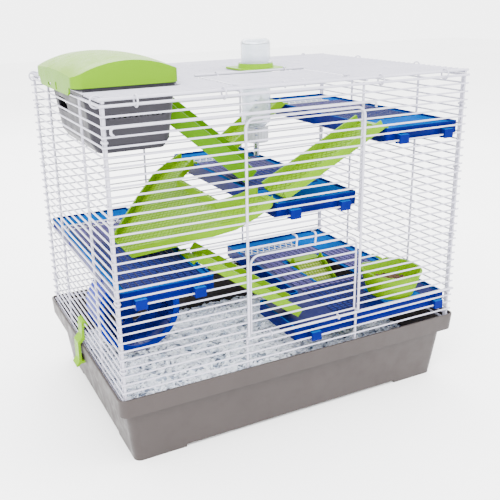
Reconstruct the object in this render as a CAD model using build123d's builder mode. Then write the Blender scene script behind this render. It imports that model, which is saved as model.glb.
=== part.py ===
from build123d import *
import os

# Two-storey wire hamster cage on a moulded tray, in millimetres.
# X runs along the front, Y to the back, Z up. The origin is the middle of the tray's feet.

# Tray
RIM_LENGTH = 500.0
RIM_DEPTH = 350.4
RIM_TOP = 99.0
RIM_BOTTOM = 75.5
RIM_SKIRT = 3.0
RIM_CORNER = 10.5
POCKET_CORNER = 5.0
LEDGE_TOP = 86.0
LEDGE_THICKNESS = 2.5
TRAY_WALL = 2.5
FOOT_LENGTH = 460.0
FOOT_DEPTH = 310.5
FOOT_CORNER = 9.0
WALL_CORNER = 13.0
FOOT_HEIGHT = 4.0
FLOOR_TOP = FOOT_HEIGHT + TRAY_WALL
WALL_TOP_LENGTH = 480.0
WALL_TOP_DEPTH = 331.0

# Wire cage: bars run outside the posts and are welded WELD deep into them
CAGE_X = 243.0
CAGE_Y = 169.6
BAR = 2.2
POST = 3.2
WELD = 0.3
PITCH = 10.58
FIRST_BAR = 106.3
TOP_BAR = 31
FRAME_BOTTOM = 87.7
BAR_REACH = 1.5
CORNER_POST_X = 240.0
CORNER_POST_Y = 162.5
INNER_POST_X = 84.5
INNER_POST_Y = 78.0
POST_INSET = (BAR + POST) / 2 - WELD

# Front doorway and its door, which hangs on the sill wire
DOOR_HALF = 76.5
DOORWAY_HALF = 80.5
HOOP_X = 81.0
HOOP_TOP = 407.8
HOOP_CORNER = 12.0
SILL_BAR = 3
DOOR_TOP_BAR = 13
FRONT_PROUD = (BAR + POST) / 2 - WELD
CURL = 2.8
CURL_WIRE = 1.7
CURL_X = 50.0
PRONG_X = 13.5

# Roof, its door, and the openings for the pod and the bottle
ROOF = 440.5
ROOF_PITCH = 10.6
ROOF_EDGE_Y = 167.2
HINGE_Y = -32.0
ROOF_DOOR_FRONT = -137.8
ROOF_DOOR_BACK = -40.0
SPLIT_Y = -143.1

# Shelves hook on a bar; the walking level is HANG above that bar
HANG = 26.0
SHELF_HEIGHT = 18.5
SHELF_WIDTH = 115.0
SHELF_DEPTH = 328.0
SHELF_WALL = 2.2
SHELF_LIP = 2.5
TAB_WIDTH = 14.0
TAB_HEIGHT = 11.6
TAB_DEPTH = 10.4
TAB_Y = 168.2
TAB_SLOT = 7.6
TAB_SPREAD = 36.0
UPPER_X = 178.5
MIDDLE_X = 20.5
LOWER_X = -179.0

# Ramps are channels with low rails
RAMP_FLOOR = 2.2
RAIL_HEIGHT = 10.0
RAIL = 2.5

# Pod in the roof's left end
POD_X = -182.5
POD_Y = -6.0
POD_LENGTH = 111.0
POD_DEPTH = 172.0
POD_WALL = 2.2
POD_FLOOR = 368.0
FLANGE_BOTTOM = 442.3
FLANGE_TOP = 444.5
LID_LEFT = -252.0
LID_RIGHT = -127.0
LID_FRONT = -100.0
LID_BACK = 86.0
LID_BOTTOM = 445.0
FLAP_BOTTOM = 436.0
LID_WALL = 2.0
LID_CORNER = 12.0
LID_SPARE = 6.0
LID_SECTIONS = ((-106, 452, 472, 455), (-7, 457, 477, 461), (92, 452, 472, 455))
HINGE_X = -122.5
HINGE_Z = 448.0
HINGE_PIN = 2.5
KNUCKLE = 6.0

# Drinking bottle
BOTTLE_X = 27.0
BOTTLE_Y = 5.3
BOTTLE_RADIUS = 20.0
BOTTLE_TOP = 482.0
COLLAR_TOP = 450.0

# Exercise wheel
WHEEL_X = -170.0
WHEEL_Z = 134.0
WHEEL_RADIUS = 58.0
WHEEL_FRONT = -22.0
WHEEL_BACK = 34.0
AXLE_RADIUS = 3.0

# Food bowl
BOWL_X = 173.0
BOWL_Y = -123.0
BOWL_HEIGHT = 36.0
BOWL_TOP_SIZE = 82.0
BOWL_FOOT_SIZE = 60.0


def bar_height(index):
    """Height of a horizontal bar of the walls, counted from the lowest full bar."""
    return FIRST_BAR + PITCH * index


FRAME_TOP = bar_height(TOP_BAR)
SILL = bar_height(SILL_BAR)
UPPER_LEVEL = bar_height(23) + HANG
MIDDLE_LEVEL = bar_height(16) + HANG
LOWER_LEVEL = bar_height(9) + HANG
GROUND_LEVEL = bar_height(0) + HANG

FRONT = Plane(origin=(0, -CAGE_Y, 0), x_dir=(1, 0, 0), z_dir=(0, -1, 0))
BACK = Plane(origin=(0, CAGE_Y, 0), x_dir=(-1, 0, 0), z_dir=(0, 1, 0))
LEFT = Plane(origin=(-CAGE_X, 0, 0), x_dir=(0, -1, 0), z_dir=(-1, 0, 0))
RIGHT = Plane(origin=(CAGE_X, 0, 0), x_dir=(0, 1, 0), z_dir=(1, 0, 0))


def keep(part, name):
    """Label a finished piece and write its file."""
    part.label = name
    export_step(part, f"parts/{name}.step")


def across(wall, start, outward=0.0):
    """Plane that a wall's bars are drawn on: local x points inward, local y up."""
    origin = wall.from_local_coords((start, 0, outward))
    return Plane(origin=origin, x_dir=wall.z_dir * -1, z_dir=wall.x_dir)


def level(wall, height, outward=0.0):
    """Plane that a wall's posts are drawn on: local x runs along the wall, local y inward."""
    origin = wall.from_local_coords((0, height, outward))
    return Plane(origin=origin, x_dir=wall.x_dir, z_dir=wall.y_dir)


def wire_run(plane, places, diameter, length):
    """Straight parallel wires that start at places on a plane."""
    with BuildSketch(plane) as ends:
        with Locations(*places):
            Circle(diameter / 2)
    extrude(ends.sketch, amount=length)


def wall_section(wall, start, end, bars, frames, posts, bottom, top):
    """One welded stretch of a wall: bars and thicker frame wires, with posts behind them."""
    with BuildPart() as section:
        wire_run(across(wall, start), [(0, height) for height in bars], BAR, end - start)
        if frames:
            wire_run(across(wall, start), [(0, height) for height in frames], POST, end - start)
        wire_run(level(wall, bottom), [(place, POST_INSET) for place in posts], POST, top - bottom)
    return section.part


def bars_between(first, last):
    return [bar_height(index) for index in range(first, last + 1)]


os.makedirs("parts", exist_ok=True)

# ---------------------------------------------------------------- tray and bedding

with BuildPart() as base_tray:
    with BuildSketch(Plane.XY.offset(RIM_BOTTOM)):
        RectangleRounded(RIM_LENGTH - 3, RIM_DEPTH - 3, RIM_CORNER)
    with BuildSketch(Plane.XY.offset(RIM_TOP)):
        RectangleRounded(RIM_LENGTH, RIM_DEPTH, RIM_CORNER)
    loft()
    rim_top_edges = base_tray.faces().sort_by(Axis.Z)[-1].edges()
    fillet(rim_top_edges, 1.2)
    with BuildSketch(Plane.XY.offset(RIM_BOTTOM)):
        RectangleRounded(
            RIM_LENGTH - 3 - 2 * RIM_SKIRT, RIM_DEPTH - 3 - 2 * RIM_SKIRT, RIM_CORNER - RIM_SKIRT
        )
    extrude(amount=LEDGE_TOP - LEDGE_THICKNESS - RIM_BOTTOM, mode=Mode.SUBTRACT)
    with BuildSketch(Plane.XY):
        RectangleRounded(FOOT_LENGTH, FOOT_DEPTH, FOOT_CORNER)
    with BuildSketch(Plane.XY.offset(LEDGE_TOP - LEDGE_THICKNESS / 2)):
        RectangleRounded(WALL_TOP_LENGTH, WALL_TOP_DEPTH, WALL_CORNER)
    loft()
    with BuildSketch(Plane.XY.offset(FLOOR_TOP)):
        RectangleRounded(FOOT_LENGTH - 2 * TRAY_WALL, FOOT_DEPTH - 2 * TRAY_WALL, FOOT_CORNER - TRAY_WALL)
    with BuildSketch(Plane.XY.offset(LEDGE_TOP)):
        RectangleRounded(WALL_TOP_LENGTH - 2 * TRAY_WALL, WALL_TOP_DEPTH - 2 * TRAY_WALL,
                         WALL_CORNER - TRAY_WALL)
    loft(mode=Mode.SUBTRACT)
    with BuildSketch(Plane.XY.offset(LEDGE_TOP)):
        RectangleRounded(RIM_LENGTH - 2 * RIM_SKIRT, RIM_DEPTH - 2 * RIM_SKIRT, POCKET_CORNER)
    extrude(amount=RIM_TOP - LEDGE_TOP, mode=Mode.SUBTRACT)
    with Locations((0, 0, FOOT_HEIGHT / 2)):
        Box(FOOT_LENGTH - 135, FOOT_DEPTH + 20, FOOT_HEIGHT, mode=Mode.SUBTRACT)
        Box(FOOT_LENGTH + 20, FOOT_DEPTH - 135, FOOT_HEIGHT, mode=Mode.SUBTRACT)
keep(base_tray.part, "base_tray")

BEDDING_BOTTOM = FLOOR_TOP + 3.3
STAND_Y = 40.0
with BuildPart() as bedding:
    with BuildSketch(Plane.XY.offset(BEDDING_BOTTOM)):
        RectangleRounded(FOOT_LENGTH - 10, FOOT_DEPTH - 10, 18)
    with BuildSketch(Plane.XY.offset(RIM_TOP)):
        RectangleRounded(WALL_TOP_LENGTH - 10, WALL_TOP_DEPTH - 10, 22)
    loft()
    with BuildSketch(Plane.XZ):
        with BuildLine():
            Polyline((-260, 0), (-260, 66), (-190, 71), (-60, 80), (30, 72), (120, 52), (260, 46), (260, 0),
                     close=True)
        make_face()
    extrude(amount=RIM_DEPTH, both=True, mode=Mode.INTERSECT)
    with BuildSketch(Plane.YZ):
        with BuildLine():
            Polyline((-180, 0), (-180, 76), (-60, 80), (20, 72), (110, 42), (180, 34), (180, 0), close=True)
        make_face()
    extrude(amount=RIM_LENGTH, both=True, mode=Mode.INTERSECT)
    with Locations((WHEEL_X, STAND_Y, RIM_TOP / 2)):
        Box(18, 8, RIM_TOP, mode=Mode.SUBTRACT)
keep(bedding.part, "bedding")

# ---------------------------------------------------------------- wire walls

REACH_X = CAGE_X + BAR_REACH
SIDE_REACH = CAGE_Y - BAR - 1.2
FRAME_LOW = [FRAME_BOTTOM]
FRAME_HIGH = [FRAME_TOP]
DOOR_SPLIT_LOW = SILL + 3.0
DOOR_SPLIT_HIGH = bar_height(DOOR_TOP_BAR) + PITCH / 2

back_posts = [-CORNER_POST_X, -INNER_POST_X, INNER_POST_X, CORNER_POST_X]
front_low_posts = [-CORNER_POST_X, -HOOP_X, HOOP_X, CORNER_POST_X]
front_high_posts = [-CORNER_POST_X, HOOP_X, CORNER_POST_X]
side_posts = [-CORNER_POST_Y, -INNER_POST_Y, INNER_POST_Y, CORNER_POST_Y]

# Below the door: the sill wire runs in front of the bars, on to the right corner.
with BuildPart() as front_low:
    add(wall_section(FRONT, -REACH_X, REACH_X, bars_between(-1, SILL_BAR - 1), FRAME_LOW,
                     front_low_posts, FRAME_BOTTOM, DOOR_SPLIT_LOW))
    wire_run(across(FRONT, -REACH_X), [(0, SILL)], BAR, REACH_X - DOORWAY_HALF)
    wire_run(across(FRONT, DOORWAY_HALF), [(0, SILL)], BAR, REACH_X - DOORWAY_HALF)
    wire_run(across(FRONT, -DOORWAY_HALF - 2, FRONT_PROUD), [(0, SILL)], POST, REACH_X + DOORWAY_HALF + 2)

# Beside the door
beside = []
for side in (-1, 1):
    inner = side * DOORWAY_HALF
    outer = side * REACH_X
    with BuildPart() as front_side:
        add(wall_section(FRONT, min(inner, outer), max(inner, outer),
                         bars_between(SILL_BAR + 1, DOOR_TOP_BAR), [],
                         [side * CORNER_POST_X], DOOR_SPLIT_LOW, DOOR_SPLIT_HIGH))
        wire_run(level(FRONT, DOOR_SPLIT_LOW, FRONT_PROUD), [(side * HOOP_X, 0)], POST,
                 DOOR_SPLIT_HIGH - DOOR_SPLIT_LOW)
    beside.append(front_side.part)

# Above the door, with the doorway hoop's rounded top and the stay wire above it
with BuildPart() as front_high:
    add(wall_section(FRONT, -REACH_X, REACH_X, bars_between(DOOR_TOP_BAR + 1, TOP_BAR - 1), FRAME_HIGH,
                     front_high_posts, DOOR_SPLIT_HIGH, FRAME_TOP + POST / 2))
    with BuildLine(FRONT.offset(FRONT_PROUD)):
        FilletPolyline((-HOOP_X, DOOR_SPLIT_HIGH), (-HOOP_X, HOOP_TOP), (HOOP_X, HOOP_TOP),
                       (HOOP_X, DOOR_SPLIT_HIGH), radius=HOOP_CORNER)
    with BuildSketch(level(FRONT, DOOR_SPLIT_HIGH, FRONT_PROUD)):
        with Locations((-HOOP_X, 0)):
            Circle(POST / 2)
    sweep()
    wire_run(across(FRONT, -REACH_X, FRONT_PROUD), [(0, bar_height(29))], POST, REACH_X + HOOP_X)
front_panel = Compound(children=[front_low.part, *beside, front_high.part])
keep(front_panel, "front_panel")

back_panel = wall_section(BACK, -REACH_X, REACH_X, bars_between(-1, TOP_BAR - 1), FRAME_LOW + FRAME_HIGH,
                          back_posts, FRAME_BOTTOM, FRAME_TOP + POST / 2)
keep(back_panel, "back_panel")
for wall, name in ((LEFT, "left_panel"), (RIGHT, "right_panel")):
    side_panel = wall_section(wall, -SIDE_REACH, SIDE_REACH, bars_between(-1, TOP_BAR - 1),
                              FRAME_LOW + FRAME_HIGH, side_posts, FRAME_BOTTOM, FRAME_TOP + POST / 2)
    keep(side_panel, name)

# ---------------------------------------------------------------- front door

DOOR_LOW = SILL + 5.0
DOOR_HIGH = bar_height(DOOR_TOP_BAR)
DOOR_WIRE = 2.6
with BuildPart() as front_door:
    with BuildLine(FRONT):
        FilletPolyline((-DOOR_HALF, DOOR_LOW), (-DOOR_HALF, DOOR_HIGH), (DOOR_HALF, DOOR_HIGH),
                       (DOOR_HALF, DOOR_LOW), radius=HOOP_CORNER)
    with BuildSketch(level(FRONT, DOOR_LOW)):
        with Locations((-DOOR_HALF, 0)):
            Circle(DOOR_WIRE / 2)
    sweep()
    wire_run(across(FRONT, -DOOR_HALF - WELD), [(0, height) for height in bars_between(5, 12)], BAR,
             2 * (DOOR_HALF + WELD))
    wire_run(across(FRONT, -DOOR_HALF - WELD), [(0, DOOR_LOW + WELD)], BAR, 2 * (DOOR_HALF + WELD))
    # Curls that wrap the sill wire
    for x in (-CURL_X, CURL_X):
        with BuildLine(Plane(origin=(x, -CAGE_Y - FRONT_PROUD, SILL), x_dir=(0, 1, 0), z_dir=(1, 0, 0))):
            Line((CURL, DOOR_LOW - SILL), (CURL, 0))
            CenterArc((0, 0), CURL, 0, -290)
        with BuildSketch(Plane.XY.offset(DOOR_LOW)):
            with Locations((x, -CAGE_Y - FRONT_PROUD + CURL)):
                Circle(CURL_WIRE / 2)
        sweep()
    for side in (-1, 1):
        with BuildLine(Plane.YZ.offset(side * PRONG_X)):
            FilletPolyline((-CAGE_Y - 0.6, DOOR_HIGH - 1), (-CAGE_Y - 2.9, DOOR_HIGH + 1.5 * PITCH),
                           (-CAGE_Y + 10, DOOR_HIGH + 1.5 * PITCH), radius=3.4)
        with BuildSketch(Plane.XY.offset(DOOR_HIGH - 1)):
            with Locations((side * PRONG_X, -CAGE_Y - 0.6)):
                Circle(BAR / 2)
        sweep()
keep(front_door.part, "front_door")

# ---------------------------------------------------------------- roof

ROOF_BARS = [ROOF_PITCH * step for step in range(-15, 16)]
ROOF_WELD = 0.4
CROSS_Z = ROOF - (BAR + POST) / 2 + ROOF_WELD
POD_RIGHT = -126.0
POD_FRONT_EDGE = -101.0
POD_BACK_EDGE = 88.0
DOOR_GAP = 80.0
BOTTLE_GAP = 25.5


def roof_section(left, right, front, back, crossings, edges=()):
    """Roof bars along X between two cuts, over cross wires along Y, with thicker edge wires."""
    with BuildPart() as section:
        bars = [(place, ROOF) for place in ROOF_BARS if front < place < back]
        wire_run(Plane.YZ.offset(left), bars, BAR, right - left)
        if edges:
            wire_run(Plane.YZ.offset(left), [(edge, ROOF) for edge in edges], POST, right - left)
        along_y = Plane(origin=(0, front + WELD, 0), x_dir=(0.6, 0, 0.8), z_dir=(0, 1, 0))
        places = [along_y.to_local_coords((place, front + WELD, CROSS_Z)) for place in crossings]
        wire_run(along_y, [(place.X, place.Y) for place in places], POST, back - front - 2 * WELD)
    return section.part


roof_ends = [-CORNER_POST_X, CORNER_POST_X]
BACK_EDGE = ROOF_EDGE_Y + POST / 2
roof_parts = [
    roof_section(-REACH_X, REACH_X, -BACK_EDGE, SPLIT_Y, roof_ends + [-INNER_POST_X, INNER_POST_X],
                 [-ROOF_EDGE_Y]),
    roof_section(-REACH_X, POD_RIGHT, SPLIT_Y, POD_FRONT_EDGE, [-CORNER_POST_X, -160]),
    roof_section(-REACH_X, POD_RIGHT, POD_BACK_EDGE, BACK_EDGE, [-CORNER_POST_X, -160], [ROOF_EDGE_Y]),
    roof_section(POD_RIGHT, -DOOR_GAP, SPLIT_Y, BACK_EDGE, [-124, -INNER_POST_X], [ROOF_EDGE_Y]),
    roof_section(-DOOR_GAP, BOTTLE_X - BOTTLE_GAP, -26, 31, [-10]),
    roof_section(BOTTLE_X + BOTTLE_GAP, DOOR_GAP, -16, 31, [66]),
    roof_section(-DOOR_GAP, DOOR_GAP, 31, BACK_EDGE, [-10, 66], [ROOF_EDGE_Y]),
    roof_section(DOOR_GAP, REACH_X, SPLIT_Y, BACK_EDGE, [INNER_POST_X, 162, CORNER_POST_X], [ROOF_EDGE_Y]),
]
# Left edge wire beside the pod, and the hinge wire and front stop of the roof door
with BuildPart() as pod_edge:
    wire_run(Plane(origin=(0, POD_FRONT_EDGE, 0), x_dir=(1, 0, 0), z_dir=(0, 1, 0)),
             [(-CAGE_X, -ROOF)], BAR, POD_BACK_EDGE - POD_FRONT_EDGE)
with BuildPart() as roof_hinge_wire:
    wire_run(Plane.YZ.offset(-DOOR_GAP), [(HINGE_Y, ROOF + 2.2)], POST, 2 * DOOR_GAP)
roof_panel = Compound(children=roof_parts + [pod_edge.part, roof_hinge_wire.part])
keep(roof_panel, "roof_panel")

ROOF_DOOR_BARS = [place for place in ROOF_BARS if ROOF_DOOR_FRONT + 5 < place < ROOF_DOOR_BACK - 1]
with BuildPart() as roof_door:
    with BuildLine(Plane.XY.offset(ROOF)):
        FilletPolyline((-DOOR_HALF, ROOF_DOOR_BACK), (-DOOR_HALF, ROOF_DOOR_FRONT),
                       (DOOR_HALF, ROOF_DOOR_FRONT), (DOOR_HALF, ROOF_DOOR_BACK), radius=HOOP_CORNER)
    with BuildSketch(Plane(origin=(-DOOR_HALF, ROOF_DOOR_BACK, ROOF), z_dir=(0, 1, 0))):
        Circle(DOOR_WIRE / 2)
    sweep()
    wire_run(Plane.YZ.offset(-DOOR_HALF - WELD), [(place, ROOF) for place in ROOF_DOOR_BARS], BAR,
             2 * (DOOR_HALF + WELD))
    wire_run(Plane.YZ.offset(-DOOR_HALF - WELD), [(ROOF_DOOR_BACK - WELD, ROOF)], BAR, 2 * (DOOR_HALF + WELD))
    for x in (-CURL_X, CURL_X):
        with Locations(Location((x, HINGE_Y, ROOF + 2.2), (0, 90, 0))):
            Torus(CURL, CURL_WIRE / 2)
        with BuildLine(Plane.YZ.offset(x)) as arm:
            Line((ROOF_DOOR_BACK, ROOF), (HINGE_Y - CURL, ROOF + 1.4))
        with BuildSketch(Plane(origin=arm.line @ 0, z_dir=arm.line % 0)):
            Circle(CURL_WIRE / 2)
        sweep()
    for side in (-1, 1):
        with BuildLine(Plane.YZ.offset(side * PRONG_X)):
            FilletPolyline((ROOF_DOOR_FRONT + 1, ROOF + 0.4), (ROOF_DOOR_FRONT - 5.4, ROOF + 0.4),
                           (ROOF_DOOR_FRONT - 5.4, ROOF - 7), radius=2.6)
        with BuildSketch(Plane(origin=(side * PRONG_X, ROOF_DOOR_FRONT + 1, ROOF + 0.4), z_dir=(0, -1, 0))):
            Circle(BAR / 2)
        sweep()
keep(roof_door.part, "roof_door")

# Flat wire bands that hold the corner posts together, and rings that tie the roof to the walls
BAND_LENGTH = CAGE_Y - POST_INSET - CORNER_POST_Y + POST + 3.2
with BuildPart() as corner_bands:
    band_x = (CAGE_X - POST_INSET + CORNER_POST_X) / 2
    middle_y = (CAGE_Y - POST_INSET + CORNER_POST_Y) / 2
    for band in (2, 10, 19, 27):
        with BuildSketch(Plane.XY.offset(bar_height(band) + PITCH / 2 - BAR / 2)):
            for x in (-band_x, band_x):
                for y in (-middle_y, middle_y):
                    with Locations((x, y)):
                        SlotOverall(BAND_LENGTH, POST + 3.2, rotation=90)
                        SlotOverall(BAND_LENGTH - 2.4, POST + 0.8, rotation=90, mode=Mode.SUBTRACT)
        extrude(amount=BAR)
keep(corner_bands.part, "corner_bands")

RING_Z = (ROOF + FRAME_TOP) / 2
RING = 6.2
with BuildPart() as edge_rings:
    with Locations(*[Location((x, y, RING_Z), (0, 90, 0))
                     for x in (-205, -105, 105, 205) for y in (-CAGE_Y + 1.2, CAGE_Y - 1.2)]):
        Torus(RING, 1.0)
    with Locations(*[Location((x, y, RING_Z), (90, 0, 0))
                     for x, y in ((CAGE_X, -6.5 * ROOF_PITCH), (CAGE_X, 6.5 * ROOF_PITCH),
                                  (-CAGE_X, -14.5 * ROOF_PITCH), (-CAGE_X, 14.5 * ROOF_PITCH))]):
        Torus(RING, 1.0)
keep(edge_rings.part, "edge_rings")

# ---------------------------------------------------------------- side clips

CLIP_BAR = bar_height(2)


def side_clip(side):
    """Clip that turns on the third bar and snaps under the tray's rim."""
    profile = [
        (1.8, CLIP_BAR), (1.8, RIM_TOP + 6), (8.4, RIM_TOP + 1), (8.4, RIM_BOTTOM - 1.2),
        (3, RIM_BOTTOM - 1.2),
        (3, RIM_BOTTOM - 4.2), (10, RIM_BOTTOM - 5), (15, RIM_BOTTOM - 9), (16.5, RIM_BOTTOM - 7.6),
        (12, RIM_BOTTOM - 1), (11.8, RIM_TOP + 3), (5.2, RIM_TOP + 10), (4.6, CLIP_BAR),
    ]
    with BuildPart() as clip:
        with BuildSketch(Plane.XZ):
            with BuildLine():
                Polyline(*[(side * (CAGE_X + out), height) for out, height in profile], close=True)
            make_face()
            with Locations((side * CAGE_X, CLIP_BAR)):
                Circle(4.6)
        extrude(amount=10, both=True)
        with BuildSketch(Plane.XZ):
            with Locations((side * CAGE_X, CLIP_BAR)):
                Circle(BAR / 2 + 0.3)
        extrude(amount=12, both=True, mode=Mode.SUBTRACT)
    return clip.part


keep(side_clip(-1), "side_clip_left")
keep(side_clip(1), "side_clip_right")

# ---------------------------------------------------------------- shelves


def shelf(walking_level, rectangles, tabs, hatch=None):
    """Moulded shelf: a floor inside a lip, a skirt below, and tabs that hook on the bars.

    rectangles holds (left, right, front, back) of the areas that make up its outline.
    """
    bottom = walking_level - SHELF_HEIGHT
    hook = walking_level - HANG + PITCH
    with BuildPart() as tray:
        with BuildSketch(Plane.XY.offset(bottom)) as outline:
            for left, right, front, back in rectangles:
                with Locations(((left + right) / 2, (front + back) / 2)):
                    Rectangle(right - left, back - front)
            fillet(outline.vertices(), 3)
        extrude(amount=SHELF_HEIGHT)
        with BuildSketch(Plane.XY.offset(walking_level)):
            offset(outline.sketch_local, amount=-SHELF_WALL, mode=Mode.ADD)
        extrude(amount=-SHELF_LIP, mode=Mode.SUBTRACT)
        with BuildSketch(Plane.XY.offset(bottom)):
            offset(outline.sketch_local, amount=-SHELF_WALL, mode=Mode.ADD)
        extrude(amount=SHELF_HEIGHT - SHELF_LIP - SHELF_WALL, mode=Mode.SUBTRACT)
        for place, side in tabs:
            with Locations((place, side * TAB_Y, hook + 1.4)):
                Box(TAB_WIDTH, TAB_DEPTH, TAB_HEIGHT)
            with Locations((place, side * CAGE_Y, hook - 2.4)):
                Box(TAB_WIDTH, BAR + 0.6, TAB_SLOT, mode=Mode.SUBTRACT)
        if hatch:
            left, right, front, back = hatch
            with Locations(((left + right) / 2, (front + back) / 2, walking_level)):
                Box(right - left, back - front, 3 * SHELF_LIP + 2 * SHELF_WALL, mode=Mode.SUBTRACT)
    return tray.part


def narrow_shelf(walking_level, centre):
    half = SHELF_WIDTH / 2
    area = (centre - half, centre + half, -SHELF_DEPTH / 2, SHELF_DEPTH / 2)
    tabs = [(centre + spread, side) for spread in (-TAB_SPREAD, TAB_SPREAD) for side in (-1, 1)]
    return shelf(walking_level, [area], tabs)


keep(narrow_shelf(UPPER_LEVEL, UPPER_X), "shelf_upper")
keep(narrow_shelf(MIDDLE_LEVEL, MIDDLE_X), "shelf_middle")
keep(narrow_shelf(LOWER_LEVEL, LOWER_X), "shelf_lower")

GROUND_LEFT = 52.0
GROUND_RIGHT = 236.0
STEP_LEFT = -10.0
STEP_BACK = -66.0
HATCH = (102, 172, -42, 50)
ground_shelf = shelf(
    GROUND_LEVEL,
    [(GROUND_LEFT, GROUND_RIGHT, -SHELF_DEPTH / 2, SHELF_DEPTH / 2),
     (STEP_LEFT, GROUND_RIGHT, -SHELF_DEPTH / 2, STEP_BACK)],
    [(17, -1), (220, -1), (100, 1), (220, 1)],
    HATCH,
)
keep(ground_shelf, "shelf_ground")

# ---------------------------------------------------------------- ramps


def channel(upper, lower, width, rail=RAIL_HEIGHT):
    """Straight channel between two points on its walking surface, inside an open builder."""
    run = Vector(*lower) - Vector(*upper)
    side = Vector(0, 0, 1).cross(run).normalized()
    with BuildSketch(Plane(origin=upper, x_dir=side, z_dir=run)) as cut:
        with Locations((0, (rail - RAMP_FLOOR) / 2)):
            Rectangle(width, rail + RAMP_FLOOR)
        with Locations((0, rail / 2)):
            Rectangle(width - 2 * RAIL, rail, mode=Mode.SUBTRACT)
    extrude(cut.sketch, amount=run.length)


def shelf_hook(edge, inward, walking_level, front, back):
    """Lip over a shelf's edge, inside an open builder; inward is the way into the shelf."""
    length = 9.5
    with Locations((edge + inward * (length / 2 - 4.0), (front + back) / 2, walking_level + 1.15)):
        Box(length, back - front, 2.0)
    with Locations((edge + inward * (SHELF_WALL + 1.9), (front + back) / 2, walking_level - 0.2)):
        Box(2.4, back - front, 4.0)


def shelf_ramp(upper, lower, width, edge, inward, walking_level):
    with BuildPart() as ramp:
        channel(upper, lower, width)
        shelf_hook(edge, inward, walking_level, upper[1] - width / 2 + 1, upper[1] + width / 2 - 1)
    return ramp.part


UPPER_EDGE = UPPER_X - SHELF_WIDTH / 2
MIDDLE_EDGE = MIDDLE_X - SHELF_WIDTH / 2
LOWER_EDGE = LOWER_X + SHELF_WIDTH / 2
RAMP_WIDTH = 54.0
keep(shelf_ramp((UPPER_EDGE - 2.5, -134, UPPER_LEVEL + 1.5), (-22, -134, MIDDLE_LEVEL + 4), RAMP_WIDTH,
                UPPER_EDGE, 1, UPPER_LEVEL), "ramp_front")
keep(shelf_ramp((UPPER_EDGE - 2.5, 112, UPPER_LEVEL + 1.5), (18, 112, MIDDLE_LEVEL + 4), RAMP_WIDTH,
                UPPER_EDGE, 1, UPPER_LEVEL), "ramp_back")
keep(shelf_ramp((LOWER_EDGE + 6.3, -91, LOWER_LEVEL + 1.5), (14, -117, GROUND_LEVEL + 4), 50,
                LOWER_EDGE, -1, LOWER_LEVEL), "ramp_lower")

POD_RAMP_WIDTH = 76.0
POD_RAMP_RAIL = 20.0
DOORWAY_Y = 6.0
with BuildPart() as pod_ramp:
    channel((-115, 4, 398), (-14, -36, MIDDLE_LEVEL + 4), POD_RAMP_WIDTH, POD_RAMP_RAIL)
    with Locations((-130, DOORWAY_Y, 397.8)):
        Box(44, 30, 3)
keep(pod_ramp.part, "ramp_pod")

with BuildPart() as hatch_ladder:
    channel((134, 44, GROUND_LEVEL - 1), (134, -74, 64), RAMP_WIDTH)
    with Locations((134, 49, GROUND_LEVEL - SHELF_LIP + 1.1)):
        Box(RAMP_WIDTH, 16, 1.8)
    rung_count = 9
    for rung in range(rung_count):
        share = (rung + 0.7) / rung_count
        with Locations(Location((134, 44 - 118 * share, GROUND_LEVEL - 1 - (GROUND_LEVEL - 65) * share),
                                (29.6, 0, 0))):
            Box(RAMP_WIDTH - 4, 2.4, 3.2)
keep(hatch_ladder.part, "ramp_hatch")

# The fork ramp widens from the lower shelf and meets the middle shelf with two arms.
FORK_Y = -19.0
FORK_LOW = -186.0
FORK_ARM_END = MIDDLE_EDGE - 1.0
FORK_SLOPE = (MIDDLE_LEVEL + 1.5 - LOWER_LEVEL) / (FORK_ARM_END - FORK_LOW)
half_outline = [(FORK_LOW, 37), (-130, 98), (-88, 138), (-62, 144), (FORK_ARM_END, 144),
                (FORK_ARM_END, 97), (-58, 86), (-77, 68)]
fork_outline = [(x, FORK_Y + half) for x, half in half_outline]
fork_outline += [(x, FORK_Y - half) for x, half in reversed(half_outline)]


def slab(floor_offset, thickness):
    """Slanted layer of the fork ramp, measured from its walking surface."""
    ends = [(x, LOWER_LEVEL + FORK_SLOPE * (x - FORK_LOW) + floor_offset) for x in (FORK_LOW - 20, 0)]
    with BuildPart() as layer:
        with BuildSketch(Plane.XZ):
            with BuildLine():
                Polyline(*ends, *[(x, z + thickness) for x, z in reversed(ends)], close=True)
            make_face()
        extrude(amount=CAGE_Y, both=True)
    return layer.part


with BuildPart() as fork_pocket:
    with BuildSketch(Plane.XY.offset(LOWER_LEVEL - 20)) as pocket_outline:
        with BuildLine():
            FilletPolyline(*fork_outline, radius=9, close=True)
        make_face()
        offset(amount=-3.0, mode=Mode.REPLACE)
        with Locations((FORK_LOW, FORK_Y)):
            Rectangle(12, 66)
        for side in (-1, 1):
            with Locations((FORK_ARM_END, FORK_Y + side * 120.5)):
                Rectangle(12, 41)
    extrude(amount=160)
    add(slab(0, 20), mode=Mode.INTERSECT)
with BuildPart() as ramp_fork:
    with BuildSketch(Plane.XY.offset(LOWER_LEVEL - 20)):
        with BuildLine():
            FilletPolyline(*fork_outline, radius=9, close=True)
        make_face()
    extrude(amount=160)
    add(slab(-RAMP_FLOOR, RAIL_HEIGHT + RAMP_FLOOR), mode=Mode.INTERSECT)
    add(fork_pocket.part, mode=Mode.SUBTRACT)
    for side in (-1, 1):
        arm_y = FORK_Y + side * 120.5
        shelf_hook(MIDDLE_EDGE, 1, MIDDLE_LEVEL, arm_y - 18, arm_y + 18)
keep(ramp_fork.part, "ramp_fork")

# ---------------------------------------------------------------- pod

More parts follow.
